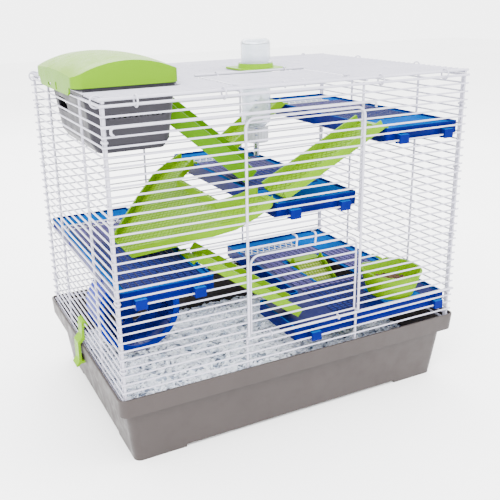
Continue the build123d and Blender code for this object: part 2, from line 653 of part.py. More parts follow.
FLANGE_X = -186.5
FLANGE_LENGTH = 122.0
FLANGE_DEPTH = 180.0
with BuildPart() as pod_basket:
    for height, shrink, corner in ((FLANGE_BOTTOM + 1, 0, 14), (POD_FLOOR + 10, 16, 14), (POD_FLOOR, 30, 10)):
        with BuildSketch(Plane.XY.offset(height)):
            with Locations((POD_X, POD_Y)):
                RectangleRounded(POD_LENGTH - shrink, POD_DEPTH - shrink * 0.62, corner)
    loft(ruled=True)
    with BuildSketch(Plane.XY.offset(FLANGE_BOTTOM)):
        with Locations((FLANGE_X, POD_Y)):
            RectangleRounded(FLANGE_LENGTH, FLANGE_DEPTH, 16)
    extrude(amount=FLANGE_TOP - FLANGE_BOTTOM)
    for height, shrink, corner in ((FLANGE_TOP, 0, 12), (POD_FLOOR + 10.6, 16, 12),
                                   (POD_FLOOR + POD_WALL, 28, 9)):
        with BuildSketch(Plane.XY.offset(height)):
            with Locations((POD_X, POD_Y)):
                RectangleRounded(POD_LENGTH - shrink - 2 * POD_WALL, POD_DEPTH - shrink * 0.62 - 2 * POD_WALL,
                                 corner)
    loft(ruled=True, mode=Mode.SUBTRACT)
    # Vents along the front and back, a slot on the left, and the doorway to the ramp on the right
    for y in (POD_Y - POD_DEPTH / 2, POD_Y + POD_DEPTH / 2):
        with Locations((POD_X, y, 410)):
            with GridLocations(6.6, 1, 12, 1):
                Box(3.6, 26, 4.4, mode=Mode.SUBTRACT)
    with BuildSketch(Plane.YZ.offset(POD_X - 70)) as window:
        with Locations((POD_Y + 36, 413)):
            SlotOverall(44, 18)
    extrude(window.sketch, amount=50, mode=Mode.SUBTRACT)
    with BuildSketch(Plane.YZ.offset(POD_X + 30)) as doorway:
        with Locations((DOORWAY_Y, 416)):
            RectangleRounded(52, 40, 10)
    extrude(doorway.sketch, amount=40, mode=Mode.SUBTRACT)
    # Hinge knuckles on the right
    for start in (-62, 38):
        with Locations((HINGE_X - 1.5, start + 10, (FLANGE_BOTTOM + HINGE_Z) / 2)):
            Box(3, 20, HINGE_Z - FLANGE_BOTTOM)
        with BuildSketch(Plane(origin=(HINGE_X, start, HINGE_Z), z_dir=(0, 1, 0))) as knuckle:
            Circle(KNUCKLE / 2)
        extrude(knuckle.sketch, amount=20)
    with BuildSketch(Plane(origin=(HINGE_X, -70, HINGE_Z), z_dir=(0, 1, 0))) as pin_hole:
        Circle(HINGE_PIN / 2 + 0.05)
    extrude(pin_hole.sketch, amount=140, mode=Mode.SUBTRACT)
keep(pod_basket.part, "pod_basket")


def lid_shell(inset, lift):
    """Closed crowned form of the lid, shrunk by inset; lift raises its flat base."""
    left = LID_LEFT - LID_SPARE
    right = LID_RIGHT + LID_SPARE
    crown_x = (LID_LEFT + LID_RIGHT) / 2 + 2
    base = LID_BOTTOM + lift
    with BuildPart() as form:
        for y, left_z, crown_z, right_z in LID_SECTIONS:
            with BuildSketch(Plane(origin=(0, y, 0), x_dir=(1, 0, 0), z_dir=(0, -1, 0))):
                with BuildLine():
                    Polyline((left, left_z - inset), (left, base), (right, base), (right, right_z - inset))
                    ThreePointArc((right, right_z - inset), (crown_x, crown_z - inset),
                                  (left, left_z - inset))
                make_face()
        loft()
        with BuildSketch(Plane.XY.offset(base)):
            with Locations(((LID_LEFT + LID_RIGHT) / 2, (LID_FRONT + LID_BACK) / 2)):
                RectangleRounded(LID_RIGHT - LID_LEFT - 2 * inset, LID_BACK - LID_FRONT - 2 * inset,
                                 LID_CORNER - inset)
        extrude(amount=LID_SPARE * 10, mode=Mode.INTERSECT)
    return form.part


with BuildPart() as pod_lid:
    add(lid_shell(0, 0))
    add(lid_shell(LID_WALL, -4), mode=Mode.SUBTRACT)
    # Flap that hangs over the left wall, with its latch slot and thumb dimple
    with BuildSketch(Plane.YZ.offset(LID_LEFT)) as flap:
        with BuildLine():
            FilletPolyline((-80, LID_BOTTOM + 3), (-80, FLAP_BOTTOM), (66, FLAP_BOTTOM), (66, LID_BOTTOM + 3),
                           radius=8)
            Line((66, LID_BOTTOM + 3), (-80, LID_BOTTOM + 3))
        make_face()
    extrude(flap.sketch, amount=LID_WALL)
    with Locations((LID_LEFT + 1, 14, 441)):
        Box(8, 14, 3.4, mode=Mode.SUBTRACT)
    with Locations(Location((LID_LEFT, -22, 442), (0, 90, 0))):
        Cylinder(4.5, 1.6, mode=Mode.SUBTRACT)
    with Locations(((LID_RIGHT + HINGE_X) / 2 - 0.5, -2, HINGE_Z)):
        Box(HINGE_X - LID_RIGHT + 1, 76, 3.6)
    with BuildSketch(Plane(origin=(HINGE_X, -40, HINGE_Z), z_dir=(0, 1, 0))) as lid_knuckle:
        Circle(KNUCKLE / 2)
    extrude(lid_knuckle.sketch, amount=76)
    with BuildSketch(Plane(origin=(HINGE_X, -70, HINGE_Z), z_dir=(0, 1, 0))) as lid_pin_hole:
        Circle(HINGE_PIN / 2 + 0.05)
    extrude(lid_pin_hole.sketch, amount=140, mode=Mode.SUBTRACT)
keep(pod_lid.part, "pod_lid")

with BuildPart() as pod_hinge_pin:
    with BuildSketch(Plane(origin=(HINGE_X, -63, HINGE_Z), z_dir=(0, 1, 0))):
        Circle(HINGE_PIN / 2)
    extrude(amount=122)
    with BuildSketch(Plane(origin=(HINGE_X, -65, HINGE_Z), z_dir=(0, 1, 0))):
        Circle(HINGE_PIN / 2 + 1)
    extrude(amount=2.5)
keep(pod_hinge_pin.part, "pod_hinge_pin")

# ---------------------------------------------------------------- drinking bottle

COLLAR_SIZE = 64.0
COLLAR_SLEEVE = 22.5
BOTTLE_AXIS = Plane(origin=(BOTTLE_X, BOTTLE_Y, 0), x_dir=(1, 0, 0), z_dir=(0, -1, 0))
with BuildPart() as bottle_collar:
    with BuildSketch(Plane.XY.offset(FLANGE_BOTTOM)):
        with Locations((BOTTLE_X, BOTTLE_Y)):
            RectangleRounded(COLLAR_SIZE, COLLAR_SIZE, 6)
    extrude(amount=2.2)
    with BuildSketch(Plane.XY.offset(FLANGE_BOTTOM - 10)):
        with Locations((BOTTLE_X, BOTTLE_Y)):
            Circle(COLLAR_SLEEVE)
    extrude(amount=14)
    with BuildSketch(Plane.XY.offset(FLANGE_TOP - 1)):
        with Locations((BOTTLE_X, BOTTLE_Y)):
            Circle(25)
    extrude(amount=COLLAR_TOP - FLANGE_TOP + 1, taper=14)
    with Locations((BOTTLE_X, BOTTLE_Y, ROOF)):
        Cylinder(BOTTLE_RADIUS + 0.4, 60, mode=Mode.SUBTRACT)
keep(bottle_collar.part, "bottle_collar")

BOTTLE_BASE = 366.0
NECK_RADIUS = 13.0
NECK_END = 352.0
BOTTLE_WALL = 1.3
with BuildPart() as bottle:
    with BuildSketch(BOTTLE_AXIS):
        with BuildLine():
            Polyline((NECK_RADIUS - BOTTLE_WALL, NECK_END), (NECK_RADIUS, NECK_END),
                     (NECK_RADIUS, BOTTLE_BASE - 2),
                     (BOTTLE_RADIUS, BOTTLE_BASE + 4), (BOTTLE_RADIUS, BOTTLE_TOP - 6))
            ThreePointArc((BOTTLE_RADIUS, BOTTLE_TOP - 6), (BOTTLE_RADIUS - 2.2, BOTTLE_TOP - 1.6),
                          (BOTTLE_RADIUS - 7, BOTTLE_TOP))
            Polyline((BOTTLE_RADIUS - 7, BOTTLE_TOP), (0, BOTTLE_TOP), (0, BOTTLE_TOP - BOTTLE_WALL),
                     (BOTTLE_RADIUS - 7, BOTTLE_TOP - BOTTLE_WALL),
                     (BOTTLE_RADIUS - BOTTLE_WALL, BOTTLE_TOP - 7),
                     (BOTTLE_RADIUS - BOTTLE_WALL, BOTTLE_BASE + 5),
                     (NECK_RADIUS - BOTTLE_WALL, BOTTLE_BASE - 1), (NECK_RADIUS - BOTTLE_WALL, NECK_END))
        make_face()
    revolve(axis=Axis((BOTTLE_X, BOTTLE_Y, 0), (0, 0, 1)))
    # Shoulder ring that rests on the collar
    with BuildSketch(Plane.XY.offset(COLLAR_TOP + 0.2)):
        with Locations((BOTTLE_X, BOTTLE_Y)):
            Circle(BOTTLE_RADIUS + 2)
            Circle(BOTTLE_RADIUS - BOTTLE_WALL / 2, mode=Mode.SUBTRACT)
    extrude(amount=2)
keep(bottle.part, "bottle")

CAP_TOP = 362.0
CAP_BOTTOM = 342.0
SPOUT_RADIUS = 4.0
SPOUT_END = 322.0
with BuildPart() as bottle_cap:
    with BuildSketch(Plane.XY.offset(CAP_BOTTOM)):
        with Locations((BOTTLE_X, BOTTLE_Y)):
            Circle(NECK_RADIUS + 3.2)
            with PolarLocations(NECK_RADIUS + 3.2, 24):
                Circle(0.7)
    extrude(amount=CAP_TOP - CAP_BOTTOM)
    with Locations((BOTTLE_X, BOTTLE_Y, CAP_TOP)):
        Cylinder(NECK_RADIUS + 0.1, 2 * (CAP_TOP - NECK_END) + 0.4, mode=Mode.SUBTRACT)
    with Locations((BOTTLE_X, BOTTLE_Y, CAP_BOTTOM)):
        Cylinder(SPOUT_RADIUS, 40, mode=Mode.SUBTRACT)
keep(bottle_cap.part, "bottle_cap")

BALL_RADIUS = 3.0
with BuildPart() as spout_tube:
    with BuildSketch(Plane.XY.offset(SPOUT_END)):
        with Locations((BOTTLE_X, BOTTLE_Y)):
            Circle(SPOUT_RADIUS)
            Circle(SPOUT_RADIUS - 0.7, mode=Mode.SUBTRACT)
    extrude(amount=34)
    with BuildSketch(Plane.XY.offset(SPOUT_END)):
        with Locations((BOTTLE_X, BOTTLE_Y)):
            Circle(SPOUT_RADIUS - 0.5)
            Circle(BALL_RADIUS - 0.4, mode=Mode.SUBTRACT)
    extrude(amount=0.8)
keep(spout_tube.part, "spout_tube")

with BuildPart() as spout_ball:
    with Locations((BOTTLE_X, BOTTLE_Y, SPOUT_END + 2.5)):
        Sphere(BALL_RADIUS)
keep(spout_ball.part, "spout_ball")

# ---------------------------------------------------------------- exercise wheel

WHEEL_WALL = 2.0
STAND_FRONT = 36.5
STAND_BACK = 43.5


def wheel_plane(y):
    """Plane facing the back, centred on the wheel's axle."""
    return Plane(origin=(WHEEL_X, y, WHEEL_Z), x_dir=(-1, 0, 0), z_dir=(0, 1, 0))


with BuildPart() as wheel:
    with BuildSketch(wheel_plane(WHEEL_FRONT)):
        Circle(WHEEL_RADIUS)
        Circle(WHEEL_RADIUS - WHEEL_WALL, mode=Mode.SUBTRACT)
        with PolarLocations(WHEEL_RADIUS - WHEEL_WALL - 0.4, 40):
            Rectangle(1.6, 1.4)
    extrude(amount=WHEEL_BACK - WHEEL_FRONT)
    with BuildSketch(wheel_plane(WHEEL_FRONT)):
        Circle(WHEEL_RADIUS - 1)
        Circle(WHEEL_RADIUS - 8, mode=Mode.SUBTRACT)
    extrude(amount=WHEEL_WALL)
    with BuildSketch(wheel_plane(WHEEL_BACK - WHEEL_WALL)):
        Circle(WHEEL_RADIUS - 1)
        with PolarLocations(34, 6):
            SlotOverall(26, 9, rotation=90, mode=Mode.SUBTRACT)
    extrude(amount=WHEEL_WALL)
    with BuildSketch(wheel_plane(14)):
        Circle(9)
    extrude(amount=WHEEL_BACK - 14)
    with BuildSketch(wheel_plane(WHEEL_FRONT)):
        Circle(AXLE_RADIUS + 0.08)
    extrude(amount=WHEEL_BACK - WHEEL_FRONT, mode=Mode.SUBTRACT)
keep(wheel.part, "wheel")

with BuildPart() as wheel_axle:
    with BuildSketch(wheel_plane(13.5)):
        Circle(AXLE_RADIUS)
    extrude(amount=STAND_BACK - 13.5)
    with BuildSketch(wheel_plane(10.5)):
        Circle(AXLE_RADIUS + 3)
    extrude(amount=3)
keep(wheel_axle.part, "wheel_axle")

with BuildPart() as wheel_stand:
    with BuildSketch(wheel_plane(STAND_FRONT)):
        Circle(11)
        with Locations((0, (FLOOR_TOP + 2 - WHEEL_Z) / 2)):
            Rectangle(15, WHEEL_Z - FLOOR_TOP - 2)
        Circle(AXLE_RADIUS, mode=Mode.SUBTRACT)
    extrude(amount=STAND_BACK - STAND_FRONT)
    with BuildSketch(Plane.XY.offset(FLOOR_TOP + 0.05)):
        with Locations((WHEEL_X, 20)):
            RectangleRounded(92, 76, 14)
    extrude(amount=3)
keep(wheel_stand.part, "wheel_stand")

# ---------------------------------------------------------------- food bowl

BOWL_BASE = GROUND_LEVEL - SHELF_LIP + 0.1
BOWL_WALL = 3.0
with BuildPart() as food_bowl:
    for height, size, corner in ((0, BOWL_FOOT_SIZE, 25), (BOWL_HEIGHT, BOWL_TOP_SIZE, 34)):
        with BuildSketch(Plane.XY.offset(BOWL_BASE + height)):
            with Locations((BOWL_X, BOWL_Y)):
                RectangleRounded(size, size, corner)
    loft()
    fillet(food_bowl.faces().sort_by(Axis.Z)[-1].edges(), 1.2)
    for height, size, corner in ((BOWL_WALL, BOWL_FOOT_SIZE - 6, 22), (BOWL_HEIGHT, BOWL_TOP_SIZE - 7, 30.5)):
        with BuildSketch(Plane.XY.offset(BOWL_BASE + height)):
            with Locations((BOWL_X, BOWL_Y)):
                RectangleRounded(size, size, corner)
    loft(mode=Mode.SUBTRACT)
    # Dips in the middle of each side of the rim
    for turn in (0, 90):
        dip_axis = Plane(origin=(BOWL_X, BOWL_Y, BOWL_BASE + BOWL_HEIGHT + 60)).rotated((90, 0, turn))
        with BuildSketch(dip_axis) as dip:
            Circle(63.5)
        extrude(dip.sketch, amount=60, both=True, mode=Mode.SUBTRACT)
keep(food_bowl.part, "food_bowl")

with BuildPart() as feed:
    for height, size, corner in ((BOWL_WALL + 0.4, 50, 20), (13, 57, 23), (18, 40, 17)):
        with BuildSketch(Plane.XY.offset(BOWL_BASE + height)):
            with Locations((BOWL_X, BOWL_Y)):
                RectangleRounded(size, size, corner)
    loft(ruled=True)
keep(feed.part, "feed")
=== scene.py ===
import math
import random

import bpy
from mathutils import Matrix, Vector, noise


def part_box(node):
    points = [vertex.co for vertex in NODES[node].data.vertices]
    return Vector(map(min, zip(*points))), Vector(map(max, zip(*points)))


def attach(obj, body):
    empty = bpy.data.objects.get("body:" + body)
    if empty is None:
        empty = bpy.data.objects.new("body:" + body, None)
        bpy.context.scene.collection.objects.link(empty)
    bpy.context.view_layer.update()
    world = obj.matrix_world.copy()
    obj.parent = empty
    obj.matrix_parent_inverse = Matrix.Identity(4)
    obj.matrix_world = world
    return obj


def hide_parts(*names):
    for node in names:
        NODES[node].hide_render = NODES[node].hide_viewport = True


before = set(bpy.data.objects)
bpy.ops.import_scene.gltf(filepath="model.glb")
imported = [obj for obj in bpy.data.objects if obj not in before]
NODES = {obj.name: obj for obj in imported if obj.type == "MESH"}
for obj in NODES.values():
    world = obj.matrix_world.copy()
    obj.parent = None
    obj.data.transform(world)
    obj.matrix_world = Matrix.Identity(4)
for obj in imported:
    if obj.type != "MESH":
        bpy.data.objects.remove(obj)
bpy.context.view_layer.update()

MM = 0.001


# ---------------------------------------------------------------- materials

def material(name):
    """Node material that holds only an output and a Principled shader."""
    made = bpy.data.materials.new(name)
    made.use_nodes = True
    tree = made.node_tree
    tree.nodes.clear()
    out = tree.nodes.new("ShaderNodeOutputMaterial")
    shader = tree.nodes.new("ShaderNodeBsdfPrincipled")
    tree.links.new(shader.outputs["BSDF"], out.inputs["Surface"])
    return made, tree, shader


def place(tree):
    """Coordinates fixed to the object."""
    return tree.nodes.new("ShaderNodeTexCoord").outputs["Object"]


def noise_node(tree, scale, detail):
    """Noise over the object, from 0 to 1."""
    node = tree.nodes.new("ShaderNodeTexNoise")
    node.inputs["Scale"].default_value = scale
    node.inputs["Detail"].default_value = detail
    node.inputs["Roughness"].default_value = 0.5
    tree.links.new(place(tree), node.inputs["Vector"])
    return node.outputs["Fac"]


def ramp(tree, value, stops):
    """Colours that follow a value, by stops of (position, colour)."""
    node = tree.nodes.new("ShaderNodeValToRGB")
    first, last = node.color_ramp.elements
    first.position, first.color = stops[0][0], (*stops[0][1], 1)
    last.position, last.color = stops[-1][0], (*stops[-1][1], 1)
    for at, colour in stops[1:-1]:
        node.color_ramp.elements.new(at).color = (*colour, 1)
    tree.links.new(value, node.inputs["Fac"])
    return node.outputs["Color"]


def span(tree, value, low, high, to_low, to_high):
    """A value moved from one range to another."""
    node = tree.nodes.new("ShaderNodeMapRange")
    node.inputs["From Min"].default_value = low
    node.inputs["From Max"].default_value = high
    node.inputs["To Min"].default_value = to_low
    node.inputs["To Max"].default_value = to_high
    tree.links.new(value, node.inputs["Value"])
    return node.outputs["Result"]


def bump(tree, shader, height, distance, strength):
    """Fine relief that follows a height value."""
    node = tree.nodes.new("ShaderNodeBump")
    node.inputs["Distance"].default_value = distance
    node.inputs["Strength"].default_value = strength
    tree.links.new(height, node.inputs["Height"])
    tree.links.new(node.outputs["Normal"], shader.inputs["Normal"])


def shade(colour, by):
    """The colour made lighter or darker by a factor."""
    return tuple(min(1.0, channel * by) for channel in colour)


def plastic(name, colour, rough=0.28, clear=0.0, glow=0.0, grain=900, depth=0.00004, spread=0.12, gloss=0.5):
    """Moulded plastic: soft mottling, a fine moulded grain and uneven gloss."""
    made, tree, shader = material(name)
    mottle = noise_node(tree, 18, 4)
    tint = ramp(tree, mottle, [(0.3, shade(colour, 1 - spread)), (0.7, shade(colour, 1 + spread))])
    tree.links.new(tint, shader.inputs["Base Color"])
    tree.links.new(span(tree, noise_node(tree, 60, 2), 0.3, 0.7, rough * 0.8, rough * 1.25),
                   shader.inputs["Roughness"])
    shader.inputs["IOR"].default_value = 1.48
    shader.inputs["Transmission Weight"].default_value = clear
    shader.inputs["Specular IOR Level"].default_value = gloss
    if glow:
        shader.inputs["Subsurface Weight"].default_value = glow
        shader.inputs["Subsurface Scale"].default_value = 0.004
        shader.inputs["Subsurface Radius"].default_value = (1.0, 1.0, 1.0)
    bump(tree, shader, noise_node(tree, grain, 2), depth, 0.35)
    return made


def metal(name, colour, rough):
    """Bright metal with faint mottling and uneven gloss."""
    made, tree, shader = material(name)
    mottle = noise_node(tree, 30, 3)
    tint = ramp(tree, mottle, [(0.3, shade(colour, 0.9)), (0.7, colour)])
    tree.links.new(tint, shader.inputs["Base Color"])
    tree.links.new(span(tree, noise_node(tree, 400, 2), 0.3, 0.7, rough * 0.7, rough * 1.3),
                   shader.inputs["Roughness"])
    shader.inputs["Metallic"].default_value = 1.0
    bump(tree, shader, noise_node(tree, 1500, 1), 0.00002, 0.3)
    return made


def paper(name, light, dark):
    """Shredded paper: each flake takes its own pale tone, with soft fibres."""
    made, tree, shader = material(name)
    cells = tree.nodes.new("ShaderNodeTexVoronoi")
    cells.inputs["Scale"].default_value = 140
    tree.links.new(place(tree), cells.inputs["Vector"])
    split = tree.nodes.new("ShaderNodeSeparateColor")
    tree.links.new(cells.outputs["Color"], split.inputs["Color"])
    tint = ramp(tree, split.outputs["Red"], [(0.0, dark), (0.3, shade(light, 0.88)), (1.0, light)])
    tree.links.new(tint, shader.inputs["Base Color"])
    tree.links.new(span(tree, noise_node(tree, 300, 2), 0.3, 0.7, 0.75, 0.95), shader.inputs["Roughness"])
    bump(tree, shader, noise_node(tree, 1200, 3), 0.0001, 0.5)
    return made


WIRE = plastic("white_powder_coat", (0.36, 0.352, 0.42), rough=0.3, grain=1400, depth=0.00003, spread=0.05)
TRAY = plastic("taupe_plastic", (0.031, 0.0245, 0.0232), rough=0.45, grain=1600, depth=0.00006,
               spread=0.05, gloss=0.25)
LIME = plastic("lime_plastic", (0.115, 0.245, 0.0001), rough=0.3, spread=0.06, gloss=0.02)
LIME_LID = plastic("lime_lid_plastic", (0.112, 0.225, 0.0001), rough=0.28, spread=0.05, gloss=0.02)
# Darker lime for the lid's sides and underside: painted shade on the lid's own lime
LID_SIDE_SHADE = plastic("lid_sides_painted_shade", (0.092, 0.210, 0.0001), rough=0.25, spread=0.04, gloss=0.02)
LEAF = plastic("leaf_plastic", (0.060, 0.170, 0.0003), rough=0.3, glow=0.1, spread=0.06, gloss=0.02)
MESH_LINE = plastic("ramp_mesh_line", (0.075, 0.150, 0.002), rough=0.4, spread=0.08, gloss=0.02)
PALE_LIME = plastic("pale_lime_plastic", (0.26, 0.34, 0.060), rough=0.4, spread=0.08, gloss=0.02)
BLUE = plastic("blue_plastic", (0.0003, 0.0030, 0.080), rough=0.2, glow=0.1, grain=500, spread=0.3,
               gloss=0.03)
WHEEL_BLUE = plastic("wheel_blue_plastic", (0.0005, 0.011, 0.21), rough=0.2, grain=500, spread=0.4,
                     gloss=0.06)
# Lighter azure for the shelves' level faces: painted light on the same blue plastic as their darker skirts
LIT_AZURE = plastic("azure_painted_light", (0.0002, 0.054, 0.230), rough=0.3, grain=500, spread=0.25, gloss=0.0)
MESH_PALE = plastic("pale_mesh", (0.092, 0.080, 0.215), rough=0.4, spread=0.15, gloss=0.0)
MESH_DIM = plastic("dim_mesh", (0.018, 0.025, 0.115), rough=0.4, spread=0.15, gloss=0.0)
GRID = plastic("grid_line", (0.0008, 0.0020, 0.030), rough=0.3, spread=0.1, gloss=0.02)
SMOKE = plastic("smoke_plastic", (0.026, 0.0245, 0.030), rough=0.35, spread=0.08, gloss=0.1)
CLEAR = plastic("clear_plastic", (0.80, 0.84, 0.90), rough=0.08, clear=0.80, spread=0.03)
WHITE = plastic("white_plastic", (0.34, 0.35, 0.38), rough=0.35, spread=0.04)
NAVY = plastic("navy_plastic", (0.0008, 0.0035, 0.060), rough=0.35, spread=0.2, gloss=0.02)
PRINT = plastic("printed_mark", (0.004, 0.02, 0.13), rough=0.4, spread=0.05)
STEEL = metal("steel", (0.35, 0.36, 0.38), 0.25)
PAPER = paper("paper_flakes", (0.80, 0.83, 0.90), (0.38, 0.45, 0.56))
# Bedding under the flakes: the same paper made far darker, painted shade between the flakes
SHADED_PAPER = paper("paper_painted_shade", (0.26, 0.30, 0.38), (0.05, 0.07, 0.12))
FEED = plastic("feed_brown", (0.055, 0.022, 0.008), rough=0.8, spread=0.4)
SEED = plastic("feed_seed", (0.15, 0.09, 0.035), rough=0.7, spread=0.3)

SHELVES = ["shelf_upper", "shelf_middle", "shelf_lower", "shelf_ground"]
DRESS = {
    WIRE: ["front_panel", "back_panel", "left_panel", "right_panel", "roof_panel", "front_door", "roof_door",
           "corner_bands", "edge_rings"],
    TRAY: ["base_tray"],
    SHADED_PAPER: ["bedding"],
    FEED: ["feed"],
    LIME: ["ramp_front", "ramp_back", "ramp_lower", "ramp_hatch", "ramp_fork", "bottle_collar", "food_bowl",
           "side_clip_left", "side_clip_right"],
    LIME_LID: ["pod_lid"],
    LEAF: ["ramp_pod"],
    BLUE: SHELVES,
    WHEEL_BLUE: ["wheel", "wheel_stand"],
    SMOKE: ["pod_basket"],
    CLEAR: ["bottle"],
    WHITE: ["bottle_cap"],
    STEEL: ["spout_tube", "spout_ball", "pod_hinge_pin", "wheel_axle"],
}
for finish, names in DRESS.items():
    for name in names:
        slots = NODES[name].data.materials
        slots.clear()
        slots.append(finish)


def second_finish(name, finish, chosen):
    """Give a CAD node a second finish on the faces whose normals are chosen."""
    mesh = NODES[name].data
    mesh.materials.append(finish)
    for face in mesh.polygons:
        face.material_index = 1 if chosen(face.normal) else 0


# Level faces of the shelves take the lighter azure and upright faces keep the darker blue: painted light and
# painted shade on one blue plastic
for name in SHELVES:
    second_finish(name, LIT_AZURE, lambda normal: abs(normal.z) > 0.9)
# The lid's faces that do not face up take the darker lime: painted shade
second_finish("pod_lid", LID_SIDE_SHADE, lambda normal: normal.z < 0.3)


# ---------------------------------------------------------------- mesh helpers

WIRE_SIDES = 10


class Shape:
    """Gathers closed forms into one mesh."""

    def __init__(self):
        self.points = []
        self.faces = []

    def add(self, points, faces):
        start = len(self.points)
        self.points += [tuple(p) for p in points]
        self.faces += [tuple(start + i for i in face) for face in faces]

    def tube(self, rings):
        """Skin over rings of equal length, capped at both ends."""
        count = len(rings[0])
        flat = [p for ring in rings for p in ring]
        faces = []
        for i in range(len(rings) - 1):
            a, b = i * count, (i + 1) * count
            for j in range(count):
                k = (j + 1) % count
                faces.append((a + j, a + k, b + k, b + j))
        faces.append(tuple(reversed(range(count))))
        faces.append(tuple(range(len(flat) - count, len(flat))))
        self.add(flat, faces)

    def bar(self, start, end, across, up, width, height):
        """Rib with bevelled upper edges between two points on a surface."""
        w, h = width / 2, height
        profile = [(-w, 0), (w, 0), (w, h * 0.6), (w * 0.5, h), (-w * 0.5, h), (-w, h * 0.6)]
        self.tube([[p + across * x + up * y for x, y in profile] for p in (start, end)])

    def wire(self, path, radius):
        """Round wire along a path of points."""
        rings = []
        side = None
        last = len(path) - 1
        for i, p in enumerate(path):
            ahead = path[min(i + 1, last)] - path[max(i - 1, 0)]
            ahead.normalize()
            if side is None:
                side = ahead.orthogonal().normalized()
            side = (side - ahead * side.dot(ahead)).normalized()
            up = ahead.cross(side)
            rings.append([p + (side * math.cos(t) + up * math.sin(t)) * radius
                          for t in (2 * math.pi * s / WIRE_SIDES for s in range(WIRE_SIDES))])
        self.tube(rings)

    def piece(self, name, finish, body, slot, smooth=False):
        """Make the gathered mesh an object that rides with a body."""
        mesh = bpy.data.meshes.new(name)
        mesh.from_pydata(self.points, [], self.faces)
        mesh.validate()
        mesh.materials.append(finish)
        if smooth:
            mesh.shade_smooth()
        else:
            mesh.shade_flat()
        made = bpy.data.objects.new(name, mesh)
        bpy.context.scene.collection.objects.link(made)
        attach(made, body)
        return made


# Faces of one flat area agree to a quarter of a millimetre in height
HEIGHT_STEPS = 4000


def flats(node, least, steepest):
    """Upward-facing flat areas of a CAD node: (normal, height along it, triangles).

    An area smaller than least, or whose normal rises less than steepest, is left out.
    """
    mesh = NODES[node].data
    groups = {}
    for face in mesh.polygons:
        n = face.normal
        if n.z < steepest:
            continue
        height = n.dot(face.center)
        key = (round(n.x, 2), round(n.y, 2), round(n.z, 2), round(height * HEIGHT_STEPS))
        groups.setdefault(key, []).append(face)
    found = []
    for faces in groups.values():
        if sum(face.area for face in faces) < least:
            continue
        normal = faces[0].normal.copy()
        triangles = [[mesh.vertices[i].co.copy() for i in face.vertices] for face in faces]
        found.append((normal, normal.dot(faces[0].center), triangles))
    return found


# Ribs over a flat area, in metres
JOIN_GAP = 0.0004
RIB_MARGIN = 0.0012
SHORTEST_RIB = 0.004


def crossings(triangles, along, across, at):
    """Stretches, measured along, where the line across = at lies on the triangles."""
    cuts = []
    for corners in triangles:
        spots = []
        for i in range(len(corners)):
            a, b = corners[i], corners[(i + 1) % len(corners)]
            va, vb = a.dot(across) - at, b.dot(across) - at
            if (va > 0) != (vb > 0):
                t = va / (va - vb)
                spots.append((a + (b - a) * t).dot(along))
        if len(spots) >= 2:
            cuts.append((min(spots), max(spots)))
    cuts.sort()
    merged = []
    for low, high in cuts:
        if merged and low <= merged[-1][1] + JOIN_GAP:
            merged[-1][1] = max(merged[-1][1], high)
        else:
            merged.append([low, high])
    return merged


def rib_field(shape, surface, direction, pitch, width, height):
    """Ribs that run along direction over one flat area, kept inside its outline."""
    normal, level, triangles = surface
    along = (direction - normal * normal.dot(direction)).normalized()
    across = normal.cross(along)
    values = [p.dot(across) for t in triangles for p in t]
    low, high = min(values), max(values)
    count = int((high - low - 2 * RIB_MARGIN) / pitch)
    start = (low + high - count * pitch) / 2
    base = normal * level
    for i in range(count + 1):
        at = start + i * pitch
        if at < low + RIB_MARGIN or at > high - RIB_MARGIN:
            continue
        for near, far in crossings(triangles, along, across, at):
            if far - near < SHORTEST_RIB:
                continue
            a = base + across * at + along * (near + RIB_MARGIN)
            b = base + across * at + along * (far - RIB_MARGIN)
            shape.bar(a, b, across, normal, width, height)


# ---------------------------------------------------------------- bedding

# The tray's walls from inside, in millimetres: half sizes at ground level and their growth by FLARE_HEIGHT
INSIDE_X, INSIDE_Y = 230.0, 155.25
FLARE_X, FLARE_Y = 10.0, 10.25
FLARE_HEIGHT = 84.75

# Height of the heap along X and along Y, as (place, height) in millimetres
HEAP_BY_X = [(-260, 66), (-190, 71), (-60, 80), (30, 72), (120, 52), (260, 46)]
HEAP_BY_Y = [(-180, 76), (-60, 80), (20, 72), (110, 42), (180, 34)]
SETTLING = 3.0

# Unevenness of the bedding, as (frequency, layer of the noise, height in millimetres)
WAVES = (0.045, 3.1, 3.0)
CRUMPLE = (0.16, 9.7, 1.6)

# Packed bedding, in millimetres: half sizes of its top and foot, and its gaps to the walls and the floor
HEAP_X, HEAP_Y = 233, 158
FOOT_X, FOOT_Y = 223, 148
HEAP_ROOM, HEAP_RAISE = 4.5, 0.3
HEAP_COLUMNS, HEAP_ROWS = 92, 62

# Loose flakes: how many, their sizes and places in millimetres, and their tilt in radians
FLAKES = 9000
FLAKE_LENGTH = (5, 12)
FLAKE_WIDTH = (2.6, 6.0)
FLAKE_THICKNESS = 0.35
FLAKE_LIFT = (0.2, 3.4)
FLAKE_TILT = 0.42
FLAKE_CURL, FLAKE_LEAN = 0.9, 0.4
FLAKE_CEILING = 90
FLAKE_CLEARANCE = 1.0
FLAKE_STEPS = 3
SCATTER_X, SCATTER_Y = 236, 160
WALL_ROOM = 3.5
CORNER_ROOM = 3.0

BED_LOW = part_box("bedding")[0]
random.seed(7)


def between(points, at):
    """Height at a place on the line through the points."""
    for (a, low), (b, high) in zip(points, points[1:]):
        if a <= at <= b:
            return low + (high - low) * (at - a) / (b - a)
    return points[-1][1]


def uneven(x, y, frequency, layer, height):
    """Smooth rise or fall at a place."""
    return noise.noise(Vector((x * frequency, y * frequency, layer))) * height


def bed_height(x, y):
    """Height of the bedding's uneven surface at a place, in millimetres."""
    settled = min(between(HEAP_BY_X, x), between(HEAP_BY_Y, y)) - SETTLING
    return settled + uneven(x, y, *WAVES) + uneven(x, y, *CRUMPLE)


